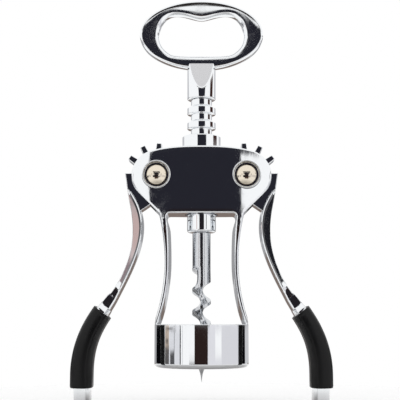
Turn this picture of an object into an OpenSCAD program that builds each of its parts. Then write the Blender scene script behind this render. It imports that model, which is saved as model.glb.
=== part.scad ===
// Wing corkscrew: a die-cast frame with a bell, two toothed levers on pivot pins, a grooved
// rack sleeve that the levers raise and lower, and a worm with an opener handle that turns in it.
// X is across the levers, -Y is the front, and Z is the tool's axis. Z = 0 is the bell's rim.

/* [Bell] */
// Outside diameter of the bell
bell_d = 40; // [36:0.5:46]
// Height of the bell
bell_h = 18; // [16:0.5:26]
// Diameter of the bore that goes over a bottle's lip
lip_bore_d = 32; // [29:0.5:34]
// Thickness of the ledge that stops on the lip
ledge_t = 5; // [3:0.5:8]
// Diameter of the hole in the ledge, wide enough for a cork
cork_hole_d = 26; // [24:0.5:28]
// Radius of the bell's lower outer edge
bell_edge_r = 2; // [1:0.25:3]

/* [Body] */
// Height of the body's top edge above the pivots, at the middle
body_rise = 12.4; // [10:0.1:20]
// Height of the pivots above the body's floor, which is the top of the window
body_drop = 16.6; // [14.5:0.1:19]
// Depth of the body from front to back, at the middle
body_depth = 18.6; // [17:0.2:22]
// Radius of the bulge of the front and rear plates
plate_bulge_r = 120; // [90:5:300]
// Radius of the plates' round ends about the pivots
lobe_r = 10.8; // [9.5:0.1:11.5]
// Diameter of the guide collar on the body
collar_d = 16.7; // [15.5:0.1:18]
// Height of the guide collar above the body
collar_h = 5.4; // [3:0.2:7]
// Half the width between the legs' inner faces at their waist
leg_waist_x = 12.9; // [11:0.1:14]
// Thickness of a leg at its waist
leg_t = 2.7; // [1.8:0.1:3]
// Depth of a leg from front to back, at the bell
leg_depth = 10; // [8:0.5:12]

/* [Pivots] */
// Height of the pivots above the bell's rim
pivot_z = 81.5; // [75:0.1:100]
// Diameter of the pivot pins
pin_d = 5; // [4:0.1:6]
// Diameter of the pins' domed heads
dome_d = 9.6; // [7.6:0.1:9.8]
// Height of the domed heads
dome_h = 3; // [2:0.1:3.6]
// Outside diameter of the cups round the heads
cup_d = 12.2; // [11.4:0.1:12.8]
// Wall and floor thickness of the cups
cup_t = 0.6; // [0.5:0.05:0.9]
// Height of the cups
cup_h = 2.4; // [1.8:0.1:2.8]
// Depth of the cups' seats below the plates' faces
seat_depth = 1.2; // [0.8:0.1:1.6]

/* [Teeth] */
// Distance between the rack's grooves
rack_pitch = 6.55; // [5.6:0.05:7.6]
// Radius of a lever's teeth at their tips
tooth_tip_r = 14.4; // [12.5:0.1:16]
// Height of a tooth, from the hub to the tip
tooth_h = 3.8; // [3.2:0.1:4.4]
// Diameter of the rack sleeve
rack_d = 12.4; // [11.6:0.1:14]
// Diameter of the rack sleeve in its grooves
groove_d = 9.2; // [8:0.1:10]
// Width of a groove at the sleeve's outside
groove_w = 3.8; // [3.2:0.05:4.4]
// Height of the sloped side of a groove
groove_slope = 0.9; // [0.5:0.05:1.1]
// Number of grooves
groove_n = 7; // [6:1:9]
// Length of the plain barrel below the lowest groove
barrel_h = 15.4; // [10:0.1:17]

/* [Worm] */
// Diameter of the shaft inside the sleeve
shaft_d = 6; // [5:0.1:6.4]
// Diameter of the shank below the sleeve
shank_d = 7.8; // [7:0.1:8.6]
// Length of the shank
shank_h = 16.5; // [12:0.5:20]
// Outside diameter of the worm's blade
worm_d = 8; // [7:0.1:9]
// Diameter of the worm's core
core_d = 2.6; // [2.2:0.1:3.2]
// Height that the blade gains in one turn
worm_pitch = 9.4; // [8:0.1:11]
// Length of the worm's point below the bell's rim
tip_drop = 6.2; // [1:0.1:8]

/* [Handle] */
// Width of the opener ring
ring_w = 54.6; // [48:0.2:60]
// Height of the opener ring
ring_h = 31.2; // [28:0.2:36]
// Thickness of the opener ring
ring_t = 5.6; // [4:0.2:7]
// Width of the ring's opening
opening_w = 37.4; // [32:0.2:40]
// Height of the ring's opening at its lobes
opening_h = 18.9; // [17:0.1:21]
// Depth of the cusp between the lobes
cusp_h = 2.1; // [1:0.1:3]
// Length of the neck below the ring's lower edge
neck_h = 13.7; // [10:0.2:16]
// Diameter of the cross pin
cross_pin_d = 2.4; // [2:0.1:3]

/* [Levers] */
// Thickness of the toothed hub
hub_t = 8; // [7:0.2:8.4]
// Depth of the levers' ribs, end blocks and cores
rib_depth = 11; // [9:0.5:12]
// Thickness of the web in the arms' recess
web_t = 5.6; // [4:0.2:6]
// Thickness of the rib along the arms' inner side
rib_t = 1.3; // [1:0.1:1.8]
// Distance from the pivots down to the levers' tips
lever_drop = 98; // [84:0.5:116]
// Length of the bare tips below the grips
bare_tip_h = 7.9; // [4:0.1:9.5]
// Thickness of the grips' rubber on the outer side
grip_outer_t = 1.6; // [1.2:0.1:2]
// Thickness of the grips' rubber on the inner side
grip_inner_t = 1.2; // [1:0.1:1.8]
// Depth of the grips from front to back
grip_depth = 14; // [12:0.5:16]

/* [Hidden] */
$fn = 64;

// Clearances: a turning or sliding fit, the gap beside a hub, and the gap round swinging teeth
running_gap = 0.06;
guide_gap = 0.08;
hub_gap = 0.3;
tooth_gap = 0.5;
face_gap = 0.1;
// Play of a tooth's root in a groove's mouth, and of its tip above a groove's floor
tooth_play = 1;
tip_play = 0.3;
// Steps along each curved stretch of an outline, and a cut's run past a face
steps = 10;
past = 1;

// The teeth mesh with the grooves: pivots, pitch circle and tooth sizes follow the rack
pivot_x = groove_d / 2 + tip_play + tooth_tip_r;
tooth_step = 180 * rack_pitch / (PI * (tooth_tip_r - 1.64));
tooth_phase = -2;
tooth_span = 150;
tooth_root_r = tooth_tip_r - tooth_h;
tooth_root_w = groove_w - tooth_play;
tooth_tip_w = tooth_root_w - 0.6;

// Heights on the tool's axis
body_top_z = pivot_z + body_rise;
window_top_z = pivot_z - body_drop;
collar_top_z = body_top_z + collar_h;
groove_low_z = pivot_z + tooth_tip_r * sin(tooth_phase) - rack_pitch;
sleeve_top_z = groove_low_z + (groove_n - 1) * rack_pitch + groove_w / 2;
sleeve_low_z = groove_low_z - groove_w / 2 - barrel_h;
neck_low_z = sleeve_top_z + face_gap;
ring_low_z = neck_low_z + neck_h;
ring_z = ring_low_z + ring_h / 2;
shaft_top_z = ring_low_z - 1.6;
cross_pin_z = neck_low_z + 5;
shank_low_z = sleeve_low_z - face_gap - shank_h;

// Distances from the middle plane: the slots' sides, the plates' faces at the pivots and the
// flats that the cups sit on
slot_half = hub_t / 2 + hub_gap;
plate_y = body_depth / 2 - plate_bulge_r + sqrt(plate_bulge_r * plate_bulge_r - pivot_x * pivot_x);
seat_y = plate_y - seat_depth;
seat_gap = 0.15;

// A cubic curve through its end points p[0] and p[3], as n + 1 points
function curve(p, n = steps) = [for (i = [0:n]) let (t = i / n, s = 1 - t)
    s * s * s * p[0] + 3 * s * s * t * p[1] + 3 * s * t * t * p[2] + t * t * t * p[3]];
// The same list the other way round, and the list from its nth point on
function back(points) = [for (i = [len(points) - 1:-1:0]) points[i]];
function after(points, n = 1) = [for (i = [n:len(points) - 1]) points[i]];
// Points of an arc about c from angle a to angle b
function arc(c, r, a, b, n = steps) = [for (i = [0:n]) let (t = a + (b - a) * i / n)
    c + r * [cos(t), sin(t)]];
// A line of points moved sideways by d, to the left of the way it runs
function beside(points, d) = [for (i = [0:len(points) - 1])
    let (a = points[max(i - 1, 0)], b = points[min(i + 1, len(points) - 1)], v = (b - a) / norm(b - a))
    points[i] + d * [-v[1], v[0]]];

// A flat outline in X and Z made solid, depth deep and centred on Y = 0
module upright(depth) {
    rotate([90, 0, 0]) linear_extrude(depth, center = true) children();
}

// Round bar along Y between two values of Y
module bar_y(d, y0, y1) {
    translate([0, y1, 0]) rotate([90, 0, 0]) cylinder(d = d, h = y1 - y0);
}

// The front outline of body and legs, on the +X side
leg_out_x = leg_waist_x + leg_t;
leg_foot_z = bell_h - ledge_t / 2;
leg_mid_z = (window_top_z + bell_h) / 2 + 3;
lobe_tangent = pivot_x + lobe_r * cos(45);
lobe_tangent_z = pivot_z - lobe_r * sin(45);
leg_bend = lobe_tangent - lobe_tangent_z;
leg_foot_out_x = bell_d / 2 + 0.3;
leg_foot_in_x = leg_foot_out_x - 3.4;
leg_foot_r = bell_d / 2 - 0.1;
leg_shoulder = [window_top_z + 0.5 + leg_bend, window_top_z + 0.5];

outer_half = concat(
    [[0, body_top_z]],
    arc([pivot_x, pivot_z], lobe_r, 80, -45, 2 * steps),
    curve([leg_shoulder, leg_shoulder - [0.6, 0.6], [leg_out_x, leg_mid_z + 9.5],
        [leg_out_x, leg_mid_z]]),
    after(curve([[leg_out_x, leg_mid_z], [leg_out_x, leg_mid_z - 8.5],
        [leg_foot_out_x - 3.2, bell_h + 9], [leg_foot_out_x, bell_h]])),
    [[leg_foot_out_x, leg_foot_z], [0, leg_foot_z]]
);
window_half = concat(
    [[0, leg_foot_z - past], [leg_foot_in_x, leg_foot_z - past]],
    curve([[leg_foot_in_x, bell_h], [leg_foot_in_x - 3.5, bell_h + 9],
        [leg_waist_x, leg_mid_z - 8.5], [leg_waist_x, leg_mid_z]]),
    after(curve([[leg_waist_x, leg_mid_z], [leg_waist_x, leg_mid_z + 8],
        [leg_waist_x + 0.6, window_top_z - 5.5], [leg_waist_x + 2.1, window_top_z - 1.2]])),
    [[leg_waist_x + 1.3, window_top_z], [0, window_top_z]]
);

// The side outline, on the +Y side: the legs get less deep from the body down to the bell
leg_top_z = window_top_z - 1.4;
depth_half = [
    [0, body_top_z + past], [body_depth / 2 + past, body_top_z + past],
    [body_depth / 2 + past, leg_top_z], [body_depth / 2 - 0.8, leg_top_z],
    [leg_depth / 2, leg_foot_z - past], [0, leg_foot_z - past]
];

// An outline given for one side, on both sides of X = 0
module both_sides(points) {
    union() {
        polygon(points);
        mirror([1, 0]) polygon(points);
    }
}

module frame_blank() {
    difference() {
        intersection() {
            upright(body_depth + 2 * past) difference() {
                both_sides(outer_half);
                both_sides(window_half);
            }
            rotate([0, 0, 90]) upright(4 * pivot_x) both_sides(depth_half);
            plates();
        }
        // the legs' feet are round, flush with the bell
        difference() {
            cylinder(d = 2 * bell_d, h = bell_h + 6);
            cylinder(r = leg_foot_r, h = bell_h + 6 + past, $fn = 96);
        }
    }
}

// The bulged front and rear faces are two large upright cylinders
module plates() {
    intersection() {
        translate([0, plate_bulge_r - body_depth / 2, 0])
            cylinder(r = plate_bulge_r, h = body_top_z + past, $fn = 180);
        translate([0, body_depth / 2 - plate_bulge_r, 0])
            cylinder(r = plate_bulge_r, h = body_top_z + past, $fn = 180);
    }
}

module bell() {
    edge_r = min(bell_edge_r, (bell_d - lip_bore_d) / 4);
    rotate_extrude($fn = 96) difference() {
        union() {
            translate([0, edge_r]) square([bell_d / 2, bell_h - edge_r]);
            square([bell_d / 2 - edge_r, edge_r + past]);
            translate([bell_d / 2 - edge_r, edge_r]) circle(r = edge_r);
        }
        translate([0, -past]) square([lip_bore_d / 2, bell_h - ledge_t + past]);
        square([cork_hole_d / 2, bell_h + past]);
    }
}

module frame() color("gainsboro") {
    difference() {
        union() {
            frame_blank();
            bell();
            translate([0, 0, window_top_z + 4]) cylinder(d = collar_d, h = collar_top_z - window_top_z - 4);
        }
        // bore of the guide, wider where the barrel leaves the floor
        translate([0, 0, window_top_z - past])
            cylinder(r = rack_d / 2 + guide_gap, h = collar_top_z - window_top_z + 2 * past);
        translate([0, 0, window_top_z - past]) cylinder(r = rack_d / 2 + 0.9, h = past + 1.4);
        for (side = [-1, 1]) translate([side * pivot_x, 0, pivot_z]) {
            bar_y(2 * (max(tooth_tip_r, norm(outer_arm[0])) + tooth_gap), -slot_half, slot_half);
            bar_y(pin_d, -body_depth, body_depth);
            bar_y(cup_d + 2 * seat_gap, -body_depth, -seat_y);
            bar_y(cup_d + 2 * seat_gap, seat_y, body_depth);
        }
    }
}

// Opener ring: half of its opening, from the middle of the bottom round to the cusp
opening_low = -opening_h / 2 - 0.4;
opening_top = opening_low + opening_h;
opening_x = opening_w / 2;
opening_half = concat(
    curve([[0, opening_low], [opening_x * 0.4, opening_low], [opening_x * 0.6, opening_low],
        [opening_x * 0.72, opening_low + 0.9]]),
    after(curve([[opening_x * 0.72, opening_low + 0.9], [opening_x * 0.92, opening_low + 3],
        [opening_x, opening_low + 6], [opening_x, opening_low + 9]])),
    after(curve([[opening_x, opening_low + 9], [opening_x, opening_top - 4.4],
        [opening_x * 0.84, opening_top], [opening_x * 0.58, opening_top]])),
    after(curve([[opening_x * 0.58, opening_top], [opening_x * 0.36, opening_top],
        [opening_x * 0.16, opening_top - cusp_h], [0, opening_top - cusp_h]]))
);

neck_r = rack_d / 2;
// The slanted facets of the neck start this far from the middle plane, at the top
facet_top_y = ring_t / 2 - 0.3;
facet_low_z = neck_low_z + 4.1;

module neck_facet() {
    low = [neck_r, facet_low_z];
    top = [facet_top_y, ring_low_z + 3.2];
    slope = (top[0] - low[0]) / (top[1] - low[1]);
    rotate([0, 0, 90]) upright(3 * neck_r) polygon([
        low - past * [slope, 1], top + past * [slope, 1],
        [3 * neck_r, top[1] + past], [3 * neck_r, low[1] - past]
    ]);
}

module handle() color("gainsboro") {
    difference() {
        union() {
            translate([0, 0, ring_z]) upright(ring_t) difference() {
                polygon([for (i = [0:71]) [ring_w / 2 * cos(5 * i), ring_h / 2 * sin(5 * i)]]);
                both_sides(opening_half);
            }
            difference() {
                translate([0, 0, neck_low_z]) cylinder(r = neck_r, h = ring_low_z + 3.2 - neck_low_z);
                neck_facet();
                mirror([0, 1, 0]) neck_facet();
            }
        }
        translate([0, 0, neck_low_z - past]) cylinder(d = shaft_d, h = shaft_top_z - neck_low_z + past);
        translate([0, 0, cross_pin_z]) rotate([0, 90, 0])
            cylinder(d = cross_pin_d, h = 2 * neck_r + 2 * past, center = true);
    }
}

module handle_pin() color("silver") {
    translate([0, 0, cross_pin_z]) rotate([0, 90, 0])
        cylinder(d = cross_pin_d, h = 2 * neck_r - 0.5, center = true);
}

module rack_sleeve() color("gainsboro") {
    ridge_n = groove_n - 1;
    rotate_extrude($fn = 72) difference() {
        translate([shaft_d / 2 + running_gap, sleeve_low_z])
            square([(rack_d - shaft_d) / 2 - running_gap, sleeve_top_z - sleeve_low_z]);
        for (i = [0:ridge_n]) translate([0, groove_low_z + i * rack_pitch]) polygon([
            [groove_d / 2, groove_slope - groove_w / 2], [rack_d / 2, -groove_w / 2],
            [rack_d / 2 + past, -groove_w / 2], [rack_d / 2 + past, groove_w / 2],
            [groove_d / 2, groove_w / 2]
        ]);
        translate([rack_d / 2 - 0.8, sleeve_low_z - 0.8]) rotate(45) translate([0, -2]) square([4, 2]);
    }
}

// Helical blade of the worm: a triangle whose sharp edge points outwards, carried round and up
blade_low_z = -1;
blade_high_z = shank_low_z + 3;
blade_turns = (blade_high_z - blade_low_z) / worm_pitch;
blade_per_turn = 24;
blade_n = ceil(blade_turns * blade_per_turn);
blade_phase = 180 - 360 * (22.9 - blade_low_z) / worm_pitch;
// The shank narrows to the core over this height
run_out = 2.6;

// How far the blade stands out of the core: nothing at the point, full after most of a turn
function blade_rise(i) = min(1, 0.12 + i / (0.9 * blade_per_turn));
function blade_ring(i) =
    let (
        a = blade_phase + 360 * i / blade_per_turn,
        z = blade_low_z + worm_pitch * i / blade_per_turn,
        foot = core_d / 2 - 0.5,
        edge = core_d / 2 + (worm_d - core_d) / 2 * blade_rise(i),
        half = 0.5 + 1.7 * blade_rise(i)
    )
    [[foot * cos(a), foot * sin(a), z - half], [edge * cos(a), edge * sin(a), z],
        [foot * cos(a), foot * sin(a), z + half]];

module blade() {
    points = [for (i = [0:blade_n]) each blade_ring(i)];
    last = 3 * blade_n;
    sides = [for (i = [0:blade_n - 1], j = [0:2]) let (k = (j + 1) % 3)
        each [[3 * i + j, 3 * i + k, 3 * i + 3 + k], [3 * i + j, 3 * i + 3 + k, 3 * i + 3 + j]]];
    polyhedron(points, concat(sides, [[2, 1, 0], [last, last + 1, last + 2]]));
}

module worm() color("darkgray") {
    difference() {
        union() {
            translate([0, 0, shank_low_z + shank_h - past])
                cylinder(d = shaft_d, h = shaft_top_z - shank_low_z - shank_h + past);
            translate([0, 0, shank_low_z]) cylinder(d = shank_d, h = shank_h);
            translate([0, 0, shank_low_z - run_out]) cylinder(d1 = core_d, d2 = shank_d, h = run_out);
            translate([0, 0, blade_low_z + 2]) cylinder(d = core_d, h = shank_low_z - blade_low_z - 4);
            translate([0, 0, -tip_drop]) cylinder(d1 = 0.3, d2 = core_d, h = blade_low_z + 2 + tip_drop);
            blade();
        }
        translate([0, 0, cross_pin_z]) rotate([0, 90, 0])
            cylinder(d = cross_pin_d, h = 2 * shaft_d, center = true);
    }
}

// A lever's outline is drawn from its pivot: the first number is the distance outwards, the
// second is up. Each edge is three curves: to the waist, to the end block, and down the core.
block_in = [16.8, -54];
block_out = [19.5, -50.2];
tip_low = -lever_drop;
core_low = tip_low + 14;
inner_arm = concat(
    curve([[12.4, -5], [9, -8.3], [5.5, -14.5], [5.5, -22]]),
    after(curve([[5.5, -22], [5.5, -33], [11.8, -44], block_in]))
);
outer_arm = concat(
    curve([[12.7, -5.7], [12.2, -11], [10.2, -16], [10.2, -23.7]]),
    after(curve([[10.2, -23.7], [10.2, -33], [13.6, -42], block_out]))
);
rib_edge = beside(inner_arm, rib_t);
rib_middle = beside(inner_arm, rib_t / 2);
// Each core's two middle points keep their share of the way down to its end
inner_run = block_in[1] - core_low;
outer_run = block_out[1] - core_low;
inner_core = curve([block_in, block_in + [4.8, -0.3 * inner_run],
    block_in + [11, -0.47 * inner_run], [27.8, core_low]], 2 * steps);
outer_core = curve([block_out, block_out + [7.2, -0.23 * outer_run],
    block_out + [14.7, -0.55 * outer_run], [34.4, core_low]], 2 * steps);
tip_in = [27.4, tip_low];
tip_out = [34, tip_low];
tip_round = 2.2;
// The root block beside the hub, whose flat top stands a little above the pivot
root_top = 1.2;
root_in_x = tooth_root_r - 1;
root_out_x = 13.7;
// Where the hub's web leaves the hub, below the pivot
web_low = [2.6, -12.4];

function tooth(k) =
    let (a = 180 - tooth_phase - k * tooth_step, u = [cos(a), sin(a)], v = [-sin(a), cos(a)])
    [(tooth_root_r - 1) * u - tooth_root_w / 2 * v, tooth_root_r * u - tooth_root_w / 2 * v,
        (tooth_tip_r - 0.35) * u - tooth_tip_w / 2 * v, tooth_tip_r * u - (tooth_tip_w / 2 - 0.35) * v,
        tooth_tip_r * u + (tooth_tip_w / 2 - 0.35) * v, (tooth_tip_r - 0.35) * u + tooth_tip_w / 2 * v,
        tooth_root_r * u + tooth_root_w / 2 * v, (tooth_root_r - 1) * u + tooth_root_w / 2 * v];

module lever_shape() {
    upright(hub_t) union() {
        circle(r = tooth_root_r);
        for (k = [-1:floor(tooth_span / tooth_step)]) polygon(tooth(k));
        polygon([[root_in_x - 4, root_top], [root_out_x, root_top], outer_arm[0], rib_middle[3],
            rib_middle[5], rib_middle[7], web_low, [0, -8]]);
    }
    upright(web_t) polygon(concat(outer_arm, back(inner_arm)));
    upright(rib_depth) polygon(concat(inner_arm, back(after(rib_edge, 2))));
    upright(rib_depth) polygon(concat(
        outer_core, [tip_out + [0, tip_round], tip_out - [tip_round, 0], tip_in + [tip_round, 0],
            tip_in + [0, tip_round]], back(inner_core)
    ));
}

module lever(side) color("gainsboro") {
    translate([side * pivot_x, 0, pivot_z]) mirror([side < 0 ? 1 : 0, 0, 0]) difference() {
        lever_shape();
        bar_y(pin_d + 2 * running_gap, -hub_t, hub_t);
    }
}

module left_lever() lever(-1);
module right_lever() lever(1);

// The grip's outline follows the core's edges, thicker by the rubber, from the collar down
grip_low = tip_low + bare_tip_h;
grip_skip = 5;
grip_inner = [for (i = [grip_skip:2 * steps]) beside(inner_core, -grip_inner_t)[i]];
grip_outer = [for (i = [grip_skip:2 * steps]) beside(outer_core, grip_outer_t)[i]];

module grip(side) color("dimgray") {
    translate([side * pivot_x, 0, pivot_z]) mirror([side < 0 ? 1 : 0, 0, 0]) difference() {
        upright(grip_depth) polygon(concat(
            grip_outer, [[outer_core[2 * steps][0] + grip_outer_t, grip_low],
                [inner_core[2 * steps][0] - grip_inner_t, grip_low]], back(grip_inner)
        ));
        lever_shape();
    }
}

module left_grip() grip(-1);
module right_grip() grip(1);

// A dome on a short round base, standing on Y = 0 towards -Y
module dome() {
    base = 0.5;
    cap = dome_h - base;
    ball_r = (dome_d * dome_d / 4 + cap * cap) / (2 * cap);
    bar_y(dome_d, -base, 0);
    intersection() {
        translate([0, ball_r - dome_h, 0]) sphere(r = ball_r, $fn = 64);
        bar_y(dome_d, -dome_h, -base);
    }
}

head_y = seat_y + cup_t;
cap_seat = 1.4;

module pivot_pin(side) color("lightgray") {
    translate([side * pivot_x, 0, pivot_z]) {
        bar_y(pin_d, -head_y - 0.2, head_y + cap_seat);
        translate([0, -head_y, 0]) dome();
    }
}

module left_pivot_pin() pivot_pin(-1);
module right_pivot_pin() pivot_pin(1);

module rear_cap(side) color("lightgray") {
    translate([side * pivot_x, head_y, pivot_z]) difference() {
        mirror([0, 1, 0]) dome();
        bar_y(pin_d, -past, cap_seat);
    }
}

module left_rear_cap() rear_cap(-1);
module right_rear_cap() rear_cap(1);

// A cup on the seat of the plate: a floor with the pin's hole, and a wall round the head
module cup(side, face) color("gainsboro") {
    translate([side * pivot_x, 0, pivot_z]) mirror([0, face > 0 ? 1 : 0, 0]) difference() {
        bar_y(cup_d, -seat_y - cup_h, -seat_y);
        bar_y(cup_d - 2 * cup_t, -seat_y - cup_h - past, -head_y);
        bar_y(pin_d, -seat_y - cup_h, 0);
    }
}

module left_front_cup() cup(-1, -1);
module right_front_cup() cup(1, -1);
module left_rear_cup() cup(-1, 1);
module right_rear_cup() cup(1, 1);

frame();
handle();
handle_pin();
rack_sleeve();
worm();
left_lever();
right_lever();
left_grip();
right_grip();
left_pivot_pin();
right_pivot_pin();
left_front_cup();
right_front_cup();
left_rear_cup();
right_rear_cup();
left_rear_cap();
right_rear_cap();
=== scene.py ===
"""Looks of the wing corkscrew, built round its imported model. Metres, +Z up, -Y the front."""

import math

import bmesh
import bpy
from bpy.props import FloatProperty, FloatVectorProperty, IntProperty, PointerProperty
from mathutils import Matrix, Vector
from mathutils.geometry import interpolate_bezier


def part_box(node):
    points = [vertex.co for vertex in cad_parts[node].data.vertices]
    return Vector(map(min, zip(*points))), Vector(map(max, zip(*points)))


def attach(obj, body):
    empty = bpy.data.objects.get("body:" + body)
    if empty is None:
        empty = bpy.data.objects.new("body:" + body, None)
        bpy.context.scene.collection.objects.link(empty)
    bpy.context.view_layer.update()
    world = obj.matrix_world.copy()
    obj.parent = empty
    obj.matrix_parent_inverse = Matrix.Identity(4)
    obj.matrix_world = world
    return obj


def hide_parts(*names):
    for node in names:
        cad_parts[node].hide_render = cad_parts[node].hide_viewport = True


bl_info = {
    "name": "Wing corkscrew",
    "version": (1, 0, 0),
    "blender": (4, 5, 0),
    "location": "3D View > Sidebar > Corkscrew",
    "description": "Builds the wing corkscrew's castings, worm, levers, grips and stage",
    "category": "Object",
}

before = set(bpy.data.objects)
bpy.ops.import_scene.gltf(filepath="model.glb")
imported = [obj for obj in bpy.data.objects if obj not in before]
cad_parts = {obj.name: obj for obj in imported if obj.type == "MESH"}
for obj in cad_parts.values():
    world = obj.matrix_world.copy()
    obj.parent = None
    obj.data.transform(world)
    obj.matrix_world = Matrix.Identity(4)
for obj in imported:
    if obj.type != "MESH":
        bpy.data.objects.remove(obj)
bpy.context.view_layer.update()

MM = 0.001
TURN = 2 * math.pi
UP = Vector((0, 0, 1))
ACROSS = Vector((1, 0, 0))
BACKWARD = Vector((0, 1, 0))
# Points closer than this are one point: anywhere, along a loft's seam and after a cut
SAME, SAME_ON_SEAM, SAME_AFTER_CUT = 1e-7, 1e-8, 1e-6


def middle(node):
    """The middle of a CAD node's box."""
    low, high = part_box(node)
    return (low + high) / 2


PIVOT = middle("right_pivot_pin")
PIVOT.y = 0
SLEEVE_LOW, SLEEVE_TOP = (corner.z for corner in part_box("rack_sleeve"))
SHAFT_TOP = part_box("worm")[1].z
WORM_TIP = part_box("worm")[0].z
CASTING_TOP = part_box("frame")[1].z
RING_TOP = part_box("handle")[1].z
CUP_FLOOR = -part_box("right_front_cup")[1].y
TIP_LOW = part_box("right_lever")[0].z - PIVOT.z
GRIP_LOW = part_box("right_grip")[0].z - PIVOT.z
PIN_AT = middle("handle_pin").z


# ---------------------------------------------------------------- outlines


def bend(*stretches, n=10):
    """Points in metres along cubic curves. A stretch is four points in millimetres; the next
    one has three, because it starts where the last one ended."""
    points, start = [], None
    for stretch in stretches:
        knots = [Vector((*p, 0)) * MM for p in stretch]
        if start is not None:
            knots.insert(0, start)
        points += interpolate_bezier(*knots, n + 1)[1 if points else 0:]
        start = knots[-1]
    return [p.to_2d() for p in points]


def in_mm(*points):
    """Points given in millimetres, in metres."""
    return [Vector(point) * MM for point in points]


def arc(centre, radius, start, end, n=12):
    """Points of an arc, from one angle to another in degrees."""
    angles = [math.radians(start + (end - start) * i / n) for i in range(n + 1)]
    return [centre + radius * Vector((math.cos(a), math.sin(a))) for a in angles]


def rounded(corners, n=4):
    """A closed outline from corners (x, y, radius) in millimetres, with each corner rounded."""
    points = []
    for i, (x, y, radius) in enumerate(corners):
        here = Vector((x, y)) * MM
        if not radius:
            points.append(here)
            continue
        before = (Vector(corners[i - 1][:2]) * MM - here).normalized()
        after = (Vector(corners[(i + 1) % len(corners)][:2]) * MM - here).normalized()
        turn = math.pi - before.angle(after)
        run = radius * MM * math.tan(turn / 2)
        pull = run - radius * MM * math.tan(turn / 4) * 4 / 3
        knots = [here + before * run, here + before * pull, here + after * pull, here + after * run]
        points += [p.to_2d() for p in interpolate_bezier(*[k.to_3d() for k in knots], n + 1)]
    return points


def beside(points, distance):
    """A line of points moved sideways, to the left of the way it runs."""
    moved = []
    for i, point in enumerate(points):
        way = points[min(i + 1, len(points) - 1)] - points[max(i - 1, 0)]
        moved.append(point + distance * way.orthogonal().normalized())
    return moved


def along(points, share):
    """The point at a share of the way through a list of points."""
    place = share * (len(points) - 1)
    i = min(int(place), len(points) - 2)
    return points[i].lerp(points[i + 1], place - i)


def ease(value, low, high):
    """0 below low, 1 above high and a smooth rise between."""
    t = min(1, max(0, (value - low) / (high - low)))
    return t * t * (3 - 2 * t)


# ---------------------------------------------------------------- shapes


def slab(outline, y_front, y_back):
    """A flat outline in X and Z made solid between two values of Y."""
    bm = bmesh.new()
    front = bm.faces.new([bm.verts.new((x, y_front, z)) for x, z in outline])
    made = bmesh.ops.extrude_face_region(bm, geom=[front])["geom"]
    moved = [v for v in made if isinstance(v, bmesh.types.BMVert)]
    bmesh.ops.translate(bm, verts=moved, vec=(0, y_back - y_front, 0))
    return bm


def soften_rims(bm, width):
    """Rounds the edges that bound a slab's front and back."""
    rims = [e for e in bm.edges if abs(e.verts[0].co.y - e.verts[1].co.y) < SAME]
    bmesh.ops.bevel(
        bm, geom=rims, offset=width, offset_type="OFFSET", affect="EDGES", segments=3,
        profile=0.5, material=-1, clamp_overlap=True)


def lathe(profile, steps=96, closed=True, axis=UP, centre=(0, 0, 0)):
    """A profile (radius, height) spun a full turn about an axis through the centre."""
    bm = bmesh.new()
    verts = [bm.verts.new(Vector(centre) + ACROSS * r + axis * h) for r, h in profile]
    pairs = list(zip(verts, verts[1:])) + ([(verts[-1], verts[0])] if closed else [])
    edges = [bm.edges.new(pair) for pair in pairs]
    bmesh.ops.spin(
        bm, geom=verts + edges, cent=centre, axis=axis, angle=TURN, steps=steps,
        use_merge=True, use_duplicate=False)
    bmesh.ops.remove_doubles(bm, verts=bm.verts, dist=SAME)
    return bm


def round_bar(radius, low, high, steps=96, axis=UP, centre=(0, 0, 0)):
    """A solid round bar between two heights along an axis."""
    profile = [(0, low), (radius, low), (radius, high), (0, high)]
    return lathe(profile, steps, closed=False, axis=axis, centre=centre)


def loft(rings, looped=False):
    """A skin laid over rings of equally many points, its ends closed unless it is looped."""
    rows, around = len(rings), len(rings[0])
    lengths = rows if looped else rows - 1
    bm = bmesh.new()
    bmesh.ops.create_grid(bm, x_segments=around, y_segments=lengths, size=0.5)
    for v in bm.verts:
        column = round((v.co.x + 0.5) * around) % around
        row = round((v.co.y + 0.5) * lengths) % rows
        v.co = rings[row][column]
    bmesh.ops.remove_doubles(bm, verts=bm.verts, dist=SAME_ON_SEAM)
    if not looped:
        bmesh.ops.holes_fill(bm, edges=bm.edges, sides=0)
    return bm


def join(*parts):
    """One bmesh from several."""
    whole = bmesh.new()
    for part in parts:
        mesh = bpy.data.meshes.new("part")
        part.to_mesh(mesh)
        part.free()
        whole.from_mesh(mesh)
        bpy.data.meshes.remove(mesh)
    return whole


def mirrored(bm, axis):
    """Turns a shape into its mirror image across a middle plane."""
    flip = Vector((1, 1, 1)) - 2 * axis
    bmesh.ops.scale(bm, vec=flip, verts=bm.verts)
    return bm


def everything(bm):
    """All vertices, edges and faces of a shape."""
    return bm.verts[:] + bm.edges[:] + bm.faces[:]


def cut(bm, *cutters):
    """A bmesh with closed shapes taken out of it."""
    for solid in (bm, *cutters):
        bmesh.ops.recalc_face_normals(solid, faces=solid.faces)
    base = as_object("base", bm)
    for cutter in cutters:
        tool = as_object("tool", cutter)
        boolean = base.modifiers.new("cut", "BOOLEAN")
        boolean.operation, boolean.solver, boolean.object = "DIFFERENCE", "EXACT", tool
    evaluated = base.evaluated_get(bpy.context.evaluated_depsgraph_get())
    result = bmesh.new()
    result.from_mesh(evaluated.to_mesh())
    evaluated.to_mesh_clear()
    for boolean in list(base.modifiers):
        bpy.data.objects.remove(boolean.object)
    bpy.data.objects.remove(base)
    bmesh.ops.remove_doubles(result, verts=result.verts, dist=SAME_AFTER_CUT)
    return result


def as_object(name, bm):
    """A shape made into an object of the scene."""
    mesh = bpy.data.meshes.new(name)
    bm.to_mesh(mesh)
    bm.free()
    piece = bpy.data.objects.new(name, mesh)
    bpy.context.scene.collection.objects.link(piece)
    return piece


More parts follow.
